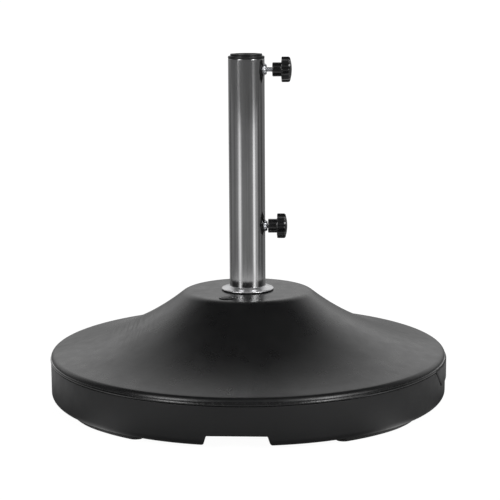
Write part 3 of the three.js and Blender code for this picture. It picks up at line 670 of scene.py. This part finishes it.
def build_foot(name):
    """Arc-shaped foot, drawn in towards the side of the base, with rounded ends and two grooves."""
    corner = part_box(name)[0]
    side = 1 if corner.x > 0 else -1
    end = 1 if corner.y > 0 else -1
    start, middle, stop = (math.radians(v) for v in (PAD_START, PAD_MIDDLE, PAD_END))
    rings = []
    for k in range(PAD_STEPS + 1):
        away = (start + stop) / 2 + (stop - start) / 2 * math.sin(math.pi * (k / PAD_STEPS - 0.5))
        past = max(0.0, (away - middle) / (stop - middle))
        outer = PAD_OUTER - PAD_DRAWN_IN * past ** 2
        centre, half = (PAD_INNER + outer) / 2, (outer - PAD_INNER) / 2
        tail = max(0.0, half - centre * min(away - start, stop - away))
        width = math.sqrt(max(half ** 2 - tail ** 2, 0.3))
        section = rounded([(-width, PAD_HEIGHT, 0.4), (-width, 0, 1.4), (-0.62 * width, 0, 0.2),
                           (-0.55 * width, 0.8, 0.2), (-0.40 * width, 0.8, 0.2), (-0.33 * width, 0, 0.2),
                           (0.33 * width, 0, 0.2), (0.40 * width, 0.8, 0.2), (0.55 * width, 0.8, 0.2),
                           (0.62 * width, 0, 0.2), (width, 0, 1.4), (width, PAD_HEIGHT, 0.4)], 0, steps=3)
        rings.append([(side * (centre + w) * math.sin(away), end * (centre + w) * math.cos(away), z)
                      for w, z in section])
    return skin(name + "_moulded", rings, caps=True)


def build_shell_screw():
    """Pan-head screw with a cross recess, at the origin."""
    seat = SCREW_SEAT - GAP
    threads = threaded("screw_thread", 2.25, 1.75, 1.8, seat - 0.1, 78.0, 20)
    head = lathe("screw_head", rounded([(0, seat - 2), (2.4, seat - 2), (4.6, seat - 1.4, 0.8),
                                        (4.8, seat, 0.2), (0, seat)], 0.0), 32)
    slots = []
    for turn in (0, math.pi / 2):
        slot = prism(rectangle(-2.2, 2.2, 0.45), seat - 2.8, seat - 0.8)
        slots.append(moved(slot, Matrix.Rotation(turn, 4, "Z")))
    return join(boolean(head, "DIFFERENCE", *slots), threads)


def threaded(name, major, minor, pitch, bottom, top, facets=32, rows=10, taper=1.2):
    """Rod with a right-hand helical thread that fades out at both ends."""
    count = int((top - bottom) / pitch * rows)
    rings = [[(0, 0, bottom)]]
    for k in range(count + 1):
        z = bottom + (top - bottom) * k / count
        fade = min(1.0, (z - bottom) / taper, (top - z) / taper)
        ring = []
        for i in range(facets):
            turn = FULL * i / facets
            phase = (z / pitch - turn / FULL) % 1.0
            crest = min(1.0, max(0.0, 1.35 - 2.7 * abs(phase - 0.5)))
            r = minor + (major - minor) * crest * max(fade, 0.0)
            ring.append((r * math.cos(turn), r * math.sin(turn), z))
        rings.append(ring)
    rings.append([(0, 0, top)])
    return skin(name, rings, angle=60)


# ---- tube, sleeves and rosette ------------------------------------------------------------------

def build_tube():
    bottom, top = heights("upright_tube")
    outline = rounded([(TUBE_BORE, bottom, 0.3), (TUBE_BORE, top, 0.3), (TUBE_RADIUS, top, 0.7),
                       (TUBE_RADIUS, 300, 0), (TUBE_RADIUS, bottom, 0.3)], 0)
    tube = lathe("tube_drawn", outline, TUBE_FACETS)
    holes = [along_x(cylinder(BUSH_HOLE, 20, 40), clamp_height(level)) for level in HUB_X]
    return boolean(tube, "DIFFERENCE", *holes)


def clamp_height(level):
    """Height of a clamp screw's axis, in millimetres."""
    low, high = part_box(level + "_knob")
    return (low.z + high.z) / 2 / MM


def build_rosette():
    foot, top = heights("rosette")
    outer = [(43.5, foot + 0.3), (43.45, foot + 1.1), (43.0, foot + 1.75), (42.0, foot + 2.2),
             (40.0, foot + 2.7), (37.5, foot + 3.35), (35.0, foot + 4.2), (33.3, foot + 5.1),
             (32.2, foot + 5.9), (31.4, top - 0.12), (30.8, top), (30.4, top - 0.25)]
    inner = [(30.35, top - 1.2), (31.2, foot + 4.6), (32.6, foot + 3.9), (35.0, foot + 3.0),
             (38.0, foot + 2.1), (41.0, foot + 1.2), (42.3, foot + 0.6), (42.6, foot), (43.2, foot)]
    return lathe("rosette_spun", outer + inner, TUBE_FACETS, angle=50)


def sleeve_slot(outer):
    """Tools for the slot that the upper clamp screw passes: its round end and the run below it."""
    z = clamp_height("upper")
    start, end = outer - 12, outer + 8
    return along_x(cylinder(SLOT_HALF, start, end), z), prism(rectangle(start, end, SLOT_HALF), SLOT_FOOT, z)


def build_sleeve(node, name, bore, shank, flange, flange_bottom, corner):
    bottom, top = heights(node)
    outline = rounded([(bore, bottom, 0.4), (bore, top, 1.0), (flange, top, corner),
                       (flange, flange_bottom, 0.5), (shank, flange_bottom, 0.2), (shank, bottom, 0.6)],
                      0, steps=5)
    return boolean(lathe(name, outline, TUBE_FACETS), "DIFFERENCE", *sleeve_slot(shank))


# ---- clamp screws -------------------------------------------------------------------------------

def build_bush(level):
    """Bush welded to the tube: domed face and a rippled bead where it meets the wall."""
    axis = clamp_height(level)

    def seat(radius):
        return lambda turn: math.sqrt(TUBE_RADIUS ** 2 - (radius * math.sin(turn)) ** 2) - 0.15

    def bead(radius):
        return lambda turn: radius + 0.35 * math.sin(11 * turn) + 0.2 * math.sin(23 * turn + 1)

    # Built along +Z and turned to +X, so the angle from its own Y gives the tube's curve.
    stations = [
        (4.3, 28.2), (6.5, 28.2), (6.5, 29.4), (8.6, seat(8.6)), (bead(9.3), seat(9.3)),
        (bead(9.4), lambda turn: seat(9.4)(turn) + 0.8), (bead(8.9), lambda turn: seat(9.0)(turn) + 1.5),
        (8.5, 31.9), (8.55, 32.5), (8.2, 33.1), (7.4, 33.5), (6.2, 33.6), (5.0, 33.6), (4.3, 33.1)]
    rings = [ring_at(r, z, 96) for r, z in stations]
    return along_x(skin(level + "_bush_welded", rings, closed=True, angle=45), axis)


def build_screw(level, hub_x):
    shaft = threaded(level + "_screw_cut", 3.9, 3.25, PITCH, -14.7, 9.0, 36, rows=12, taper=0.8)
    stub = lathe("stub", rounded([(0, -16.7), (1.7, -16.7, 0.4), (1.7, -14), (0, -14)], 0), 24)
    side = hexagon(HEX_ACROSS)
    eased = hexagon(HEX_ACROSS, 0.7)
    stations = [(0, 8.3), (eased, 8.3), (side, 8.7), (side, 13.2), (eased, 13.6), (0, 13.6)]
    head = skin("head", [ring_at(r, z, 72) for r, z in stations])
    return along_x(join(shaft, stub, head), clamp_height(level), hub_x)


def build_tip(level, hub_x):
    outline = rounded([(0, -20), (3.2, -20, 1.0), (3.2, -15, 0.3), (2, -15, 0.2), (2, -18, 0), (0, -18)], 0)
    return along_x(lathe(level + "_tip_turned", outline, 40), clamp_height(level), hub_x)


def dome(radius):
    return GRIP_APEX - GRIP_DOME + math.sqrt(GRIP_DOME ** 2 - radius ** 2)


def lobed(inset, share=1.0):
    """Fluted outline: broad round lobes with narrower valleys."""
    def radius(turn):
        wave = math.cos(GRIP_LOBES * turn)
        sharp = wave + 0.16 * math.cos(2 * GRIP_LOBES * turn) - 0.16
        return (GRIP_MEAN + GRIP_LOBE * sharp - inset) * share
    return radius


def build_knob(level, hub_x):
    stations = [(4.2, 0.4), (4.7, 0.0), (HUB_RADIUS - 1.0, 0.0), (HUB_RADIUS - 0.3, 0.25),
                (HUB_RADIUS, 0.9), (HUB_RADIUS, 6.0), (HUB_RADIUS, HUB_LENGTH - 0.8),
                (HUB_RADIUS + 0.2, HUB_LENGTH - 0.25), (HUB_RADIUS + 0.8, HUB_LENGTH)]
    stations += [(lobed(2.2), HUB_LENGTH), (lobed(1.3), HUB_LENGTH + 0.05), (lobed(0.6), HUB_LENGTH + 0.3),
                 (lobed(0.15), HUB_LENGTH + 0.85), (lobed(0.0), HUB_LENGTH + 1.6),
                 (lobed(0.0), HUB_LENGTH + 6.5)]
    edge = dome(GRIP_MEAN + GRIP_LOBE)
    stations += [(lobed(0.0), edge - 2.4), (lobed(0.15), edge - 1.3), (lobed(0.6), edge - 0.5)]
    for inset in (1.4, 2.4, 3.4):
        at = lobed(inset)
        stations.append((at, lambda turn, at=at: dome(at(turn)) - 0.03))
    for r in (15.6, 15.0):
        stations.append((r, dome(r)))
    stations += [(14.7, dome(14.7) - 0.3), (14.7, CAP_SEAT), (9.0, CAP_SEAT),
                 (hexagon(HEX_ACROSS + 0.9), CAP_SEAT - 0.3), (hexagon(HEX_ACROSS + 0.9), HEX_SEAT),
                 (4.2, HEX_SEAT)]
    rings = [ring_at(r, z, 24 * GRIP_LOBES) for r, z in stations]
    knob = skin(level + "_knob_moulded", rings, closed=True, angle=38)
    return along_x(knob, clamp_height(level), hub_x)


def build_cap(level, hub_x):
    bottom = CAP_SEAT + GAP
    face = [(r, dome(r)) for r in (0, 3, 6, 9, 11)] + [
        (11.6, dome(11.6) - 0.02), (11.9, dome(11.9) - 0.22), (12.3, dome(12.3) - 0.22),
        (12.6, dome(12.6) - 0.02), (13.6, dome(13.6)), (14.15, dome(14.15) - 0.12), (14.4, dome(14.4) - 0.45)]
    outline = face + [(CAP_RADIUS, bottom), (0, bottom)]
    return along_x(lathe(level + "_cap_moulded", outline, 72, angle=25), clamp_height(level), hub_x)


# ---- inner pieces -------------------------------------------------------------------------------

def build_ballast():
    inset = WALL + 0.6
    bottom = UNDERSIDE + WALL + GAP
    curve = [p for p in cover_curve(inset, 8) if p[0] < 299]
    outline = [(30, bottom), (30, 24), (7, 24), (7, 41.7), (32.8, 41.7), (32.8, TOP - inset), *curve,
               (300, curve[-1][1] - 0.4), (300, bottom)]
    block = lathe("ballast_cast", outline, 128, angle=40)
    tools = [notch_prism(WALL + 0.6, RIM, RIM - NOTCH_DEPTH - WALL - 0.6),
             moved(cylinder(12.4, TOP - 14, TOP), shift(*middle_of("filler_plug"), 0))]
    return boolean(block, "DIFFERENCE", *tools)


def build_nut():
    z0, z1 = heights("anchor_nut")
    side, eased = hexagon(ANCHOR_ACROSS), hexagon(ANCHOR_ACROSS, 1.0)
    stations = [(6.3, z0), (eased, z0), (side, z0 + 0.6), (side, z1 - 0.6), (eased, z1), (6.3, z1)]
    return skin("anchor_nut_forged", [ring_at(r, z, 72) for r, z in stations], closed=True)


def build_bolt():
    z0, z1 = heights("anchor_bolt")
    side, eased = hexagon(ANCHOR_ACROSS), hexagon(ANCHOR_ACROSS, 1.0)
    stations = [(0, z0), (eased, z0), (side, z0 + 0.6), (side, z0 + 7.5), (0, z0 + 7.5)]
    head = skin("anchor_bolt_forged", [ring_at(r, z, 72) for r, z in stations])
    return join(head, threaded("shaft", 6.0, 5.1, 1.75, z0 + 7.4, z1, 36))


def plain_ring(node, name, inner, outer, edge=0.4, facets=96):
    z0, z1 = heights(node)
    return lathe(name, rounded([(inner, z0), (inner, z1), (outer, z1), (outer, z0)], edge), facets)


def build_plug():
    """Domed filler plug with a moulded step round its edge and a coin slot across its top."""
    bottom, top = heights("filler_plug")
    seat = TOP + GAP
    outline = [(0, bottom), (8.6, bottom), (10.4, bottom + 1.6), (10.4, seat - 0.2), (10.6, seat),
               (12.3, seat), (12.6, seat + 0.3), (12.5, seat + 0.9), (12.0, seat + 1.3), (10.2, seat + 1.55),
               (9.8, seat + 1.5), (9.4, seat + 1.1), (8.9, seat + 1.1), (8.4, seat + 1.9), (7.6, seat + 2.2),
               (4.5, top - 0.1), (0, top)]
    plug = lathe("filler_plug_moulded", outline, 64)
    slot = prism(rectangle(-5.5, 5.5, 0.9), top - 1.3, top + 2)
    boolean(plug, "DIFFERENCE", moved(slot, Matrix.Rotation(math.radians(24), 4, "Z")))
    return moved(plug, shift(*middle_of("filler_plug"), 0))


def build_pole_rest():
    z0, z1 = heights("pole_rest")
    outline = rounded([(0, z1 - 4), (0, z1), (27.4, z1, 0.8), (27.4, z0, 0.5), (23.8, z0, 0.5),
                       (23.8, z1 - 4, 1.0)], 0)
    return lathe("pole_rest_moulded", outline, 72)


def build_socket():
    outline = rounded([(7, 42), (7, 44), (31, 44, 0.8), (31, 172), (32.5, 172, 0.5), (32.5, 42, 1.2)], 0.2)
    return lathe("tube_socket_pressed", outline, 96)


def build_anchor_cover():
    outline = rounded([(0, 6.3), (0, 7.9), (25.5, 7.9, 0), (25.5, 11.3, 0.4), (27.5, 11.3, 0.6),
                       (27.5, 7.9, 0), (31.4, 7.9, 0.5), (31.4, 6.3, 0.5), (22, 6.3, 0.3), (21.4, 6.9, 0.3),
                       (20.4, 6.9, 0.3), (19.8, 6.3, 0.3)], 0)
    return lathe("anchor_cover_moulded", outline, 96)


# ---- stage --------------------------------------------------------------------------------------

# Strip lights: azimuth from the front towards +X, spread and strength.
STRIPS = ((-43.5, 9, 0.96), (49, 7.5, 1.27), (68, 6, 0.24))
# Flags, given the same way: where the floor is dimmed.
FLAGS = ((109, 9, -0.15), (84, 7, -0.15), (155, 20, -0.16), (-123, 8, -0.15), (-82, 6, -0.08))
STRIP_TOP = 0.72
STRIP_LEVEL = 11.0
OVERHEAD_LEVEL = 0.42
# Glow of the painted pool of light on the floor.
POOL_LEVEL = 0.86

# What the camera sees of the floor and of the room, whatever they send to the object.
FLOOR_SEEN = 0.965
ROOM_SEEN = 0.97
FLOOR_HALF = 300.0

# Camera, in degrees, metres and millimetres of lens.
CAMERA_AZIMUTH = 3.1
CAMERA_HEADING = 3.002
CAMERA_PITCH = 9.829
CAMERA_ROLL = -0.350
CAMERA_DISTANCE = 2.490
CAMERA_HEIGHT = 0.678
CAMERA_LENS = 108.93


def hump(t, azimuth, centre, spread, strength):
    """Bell curve of the azimuth, in degrees."""
    away = t.math("DIVIDE", t.math("SUBTRACT", azimuth, math.radians(centre)), math.radians(spread))
    square = t.math("MULTIPLY", away, away)
    return t.math("MULTIPLY", t.math("EXPONENT", t.math("MULTIPLY", square, -1.0)), strength)


def azimuth_of(t, x, y):
    return t.math("ARCTAN2", x, t.math("MULTIPLY", y, -1.0))


def strips(t, azimuth):
    total = hump(t, azimuth, *STRIPS[0])
    for strip in STRIPS[1:]:
        total = t.math("ADD", total, hump(t, azimuth, *strip))
    return total


def room_below(t, azimuth):
    """Painted glow of the studio floor away from the object: dim in front, lighter behind, darker under the
    flags, and with the strip lights painted in as bright bands.
    """
    away = t.math("ABSOLUTE", azimuth)
    level = t.math("MULTIPLY_ADD", t.smooth(away, 2.1, 2.9), 0.16, 0.135)
    for flag in FLAGS:
        level = t.math("ADD", level, hump(t, azimuth, *flag))
    return t.math("ADD", level, strips(t, azimuth))


def grey_of(t, level):
    return t.add("ShaderNodeCombineXYZ", {0: level, 1: level, 2: level}).outputs[0]


def unless_seen(t, plain, level):
    """The plain level for the camera, and level for everything else."""
    seen = t.add("ShaderNodeLightPath").outputs["Is Camera Ray"]
    return grey_of(t, t.math("MULTIPLY_ADD", seen, t.math("SUBTRACT", plain, level), level))


def floor():
    """Pale floor, plain where the camera sees it. What it sends to the object is painted light from its glow:
    a painted pool of light round the base, a painted contact shadow right next to the base, and a dimmer glow
    further out, as in a dark studio.
    """
    t = Tree("floor_pale")
    x, y, _ = t.xyz()
    radius = t.length(x, y)
    # Painted pool of light that fades out between 0.74 m and 0.92 m, with a painted contact shadow that takes
    # it back to the dim floor glow inside 0.54 m.
    light_pool_and_shadow = t.math("MULTIPLY", t.smooth(radius, 0.92, 0.74), t.smooth(radius, 0.32, 0.54))
    far = room_below(t, azimuth_of(t, x, y))
    level = t.math("MULTIPLY_ADD", light_pool_and_shadow, t.math("SUBTRACT", POOL_LEVEL, far), far)
    # The floor glows with this painted light towards the object, though it is no lamp.
    t.set(colour=t.ramp(t.noise(3, 2), (0.3, grey(0.10)), (0.7, grey(0.11))), rough=0.9, level=0.1,
          glow=unless_seen(t, FLOOR_SEEN, level), glow_strength=1.0)
    bm = bmesh.new()
    corners = rectangle(-FLOOR_HALF, FLOOR_HALF, FLOOR_HALF)
    bm.faces.new([bm.verts.new((*corner, 0)) for corner in corners])
    plane = object_from("floor", bm)
    plane.data.materials.append(t.material)


def world():
    """Soft room: a bright wall low down behind the object, strip lights in front and beside it, and
    a weak light in front overhead."""
    made = bpy.data.worlds.new("studio")
    bpy.context.scene.world = made
    t = Tree("studio", world=made)
    x, y, z = t.xyz("Generated")
    behind = t.smooth(y, 0.08, 0.90)
    low = t.smooth(z, 0.84, 0.50)
    lift = t.math("MULTIPLY_ADD", t.smooth(z, 0.03, 0.33), 0.85, 0.15)
    back = t.math("MULTIPLY", t.math("MULTIPLY", behind, low), lift)
    front = t.math("MULTIPLY_ADD", t.smooth(z, 0.45, 0.1), 0.06, 0.06)
    tall = t.math("MULTIPLY", t.smooth(z, STRIP_TOP, STRIP_TOP - 0.15), t.smooth(z, 0.12, 0.30))
    tall = t.math("MULTIPLY", tall, STRIP_LEVEL)
    lit = t.math("MULTIPLY", strips(t, azimuth_of(t, x, y)), tall)
    overhead = t.math("MULTIPLY", t.smooth(z, 0.60, 0.72), t.smooth(z, 0.92, 0.80))
    overhead = t.math("MULTIPLY", overhead, t.smooth(y, 0.05, -0.35))
    front = t.math("MULTIPLY_ADD", overhead, OVERHEAD_LEVEL, front)
    level = t.math("ADD", t.math("ADD", back, front), lit)
    t.put(t.shader.inputs["Color"], unless_seen(t, ROOM_SEEN, level))
    t.shader.inputs["Strength"].default_value = 1.0


def camera():
    data = bpy.data.cameras.new("camera")
    data.sensor_width = 36.0
    data.lens = CAMERA_LENS
    data.clip_start, data.clip_end = 0.05, 1000
    obj = bpy.data.objects.new("camera", data)
    bpy.context.scene.collection.objects.link(obj)
    degrees = (CAMERA_AZIMUTH, CAMERA_HEADING, CAMERA_PITCH, CAMERA_ROLL)
    azimuth, heading, pitch, roll = (math.radians(v) for v in degrees)
    place = Vector((CAMERA_DISTANCE * math.sin(azimuth), -CAMERA_DISTANCE * math.cos(azimuth),
                    CAMERA_HEIGHT))
    forward = Vector((-math.sin(heading) * math.cos(pitch), math.cos(heading) * math.cos(pitch),
                      -math.sin(pitch)))
    right = forward.cross(Vector((0, 0, 1))).normalized()
    up = right.cross(forward)
    turned = Matrix((right, up, -forward)).transposed().to_4x4() @ Matrix.Rotation(roll, 4, "Z")
    obj.matrix_world = Matrix.Translation(place) @ turned
    bpy.context.scene.camera = obj


# ---- the object ---------------------------------------------------------------------------------

SHELL = shell_plastic("shell_plastic", 0.25, 0.36, bead=True)
PAN = shell_plastic("pan_plastic", 0.42, 0.54, 1.25, 1.36)
STEEL = steel_tube()
SPUN = spun_steel()
ZINC = zinc()
GRIP = grip_plastic()
SLEEVE = sleeve_plastic()
RUBBER = rubber()
CONCRETE = concrete()
NYLON = nylon()

show(build_cover(), SHELL, "base", "top_cover").data.materials.append(PAN)
show(build_pan(), PAN, "base", "bottom_pan")
for place in ("front_left", "front_right", "rear_left", "rear_right"):
    foot = "foot_pad_" + place
    show(build_foot(foot), RUBBER, "base", foot)
screw = build_shell_screw()
for index, angle in enumerate(screw_angles(), 1):
    twin = bpy.data.objects.new(f"shell_screw_{index}_cut", screw.data.copy())
    bpy.context.scene.collection.objects.link(twin)
    show(moved(twin, around(SCREW_CIRCLE, angle)), ZINC, "base", f"shell_screw_{index}")
bpy.data.objects.remove(screw)
show(build_ballast(), CONCRETE, "base", "concrete_ballast")
show(build_socket(), ZINC, "base", "tube_socket")
show(plain_ring("tube_foot_plate", "tube_foot_plate_cut", 6.3, 27.7), ZINC, "base", "tube_foot_plate")
show(build_nut(), ZINC, "base", "anchor_nut")
show(build_bolt(), ZINC, "base", "anchor_bolt")
show(plain_ring("anchor_washer", "anchor_washer_cut", 6.6, 25), ZINC, "base", "anchor_washer")
show(build_anchor_cover(), PAN, "base", "anchor_cover")
show(build_pole_rest(), RUBBER, "base", "pole_rest")
show(build_plug(), SHELL, "base", "filler_plug")
show(build_tube(), STEEL, "base", "upright_tube")
show(build_rosette(), SPUN, "rosette", "rosette")
show(plain_ring("rosette_seal", "rosette_seal_cut", 30.6, 42.3, 0.3), RUBBER, "rosette", "rosette_seal")
show(build_sleeve("outer_reducer", "outer_reducer_moulded", 24.7, 27.6, 30.0, 564.3, 1.3),
     SLEEVE, "outer_sleeve", "outer_reducer")
show(build_sleeve("inner_reducer", "inner_reducer_moulded", 20.0, 24.4, 26.2, 569.1, 0.9),
     SLEEVE, "inner_sleeve", "inner_reducer")
for level, hub_x in HUB_X.items():
    show(build_bush(level), ZINC, "base", level + "_thread_bush")
    show(build_screw(level, hub_x), ZINC, level + "_grip", level + "_clamp_screw")
    show(build_tip(level, hub_x), NYLON, level + "_feed", level + "_thrust_tip")
    show(build_knob(level, hub_x), GRIP, level + "_grip", level + "_knob")
    show(build_cap(level, hub_x), GRIP, level + "_grip", level + "_knob_cap")

floor()
world()
camera()
bpy.context.scene.view_settings.view_transform = "Standard"
